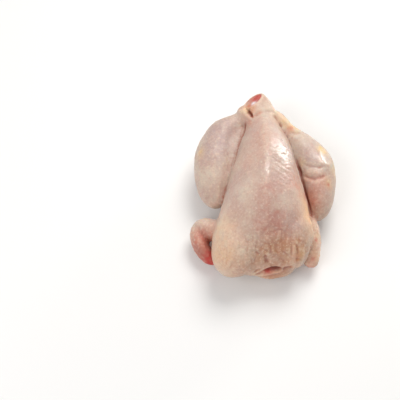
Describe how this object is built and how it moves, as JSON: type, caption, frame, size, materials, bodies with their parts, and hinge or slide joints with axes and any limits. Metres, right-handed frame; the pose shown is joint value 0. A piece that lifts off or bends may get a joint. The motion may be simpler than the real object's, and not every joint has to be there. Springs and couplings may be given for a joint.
{
  "type": "raw poussin",
  "caption": "Raw plucked and drawn young chicken lying on its back, legs folded up beside the breast and wings cut off at the wrist.",
  "frame": {"origin": "middle of the bird's length and width, on the surface that its back rests on", "axes": "+Y from the neck end to the tail, +Z from the back to the breast, +X towards the side on the viewer's right when the neck end is nearest"},
  "size_m": [0.1248, 0.1664, 0.0733],
  "materials": {
    "skin": "wet raw skin with a soft gloss"
  },
  "bodies": {
    "root": {"poussin": "skin"}
  },
  "joints": []
}
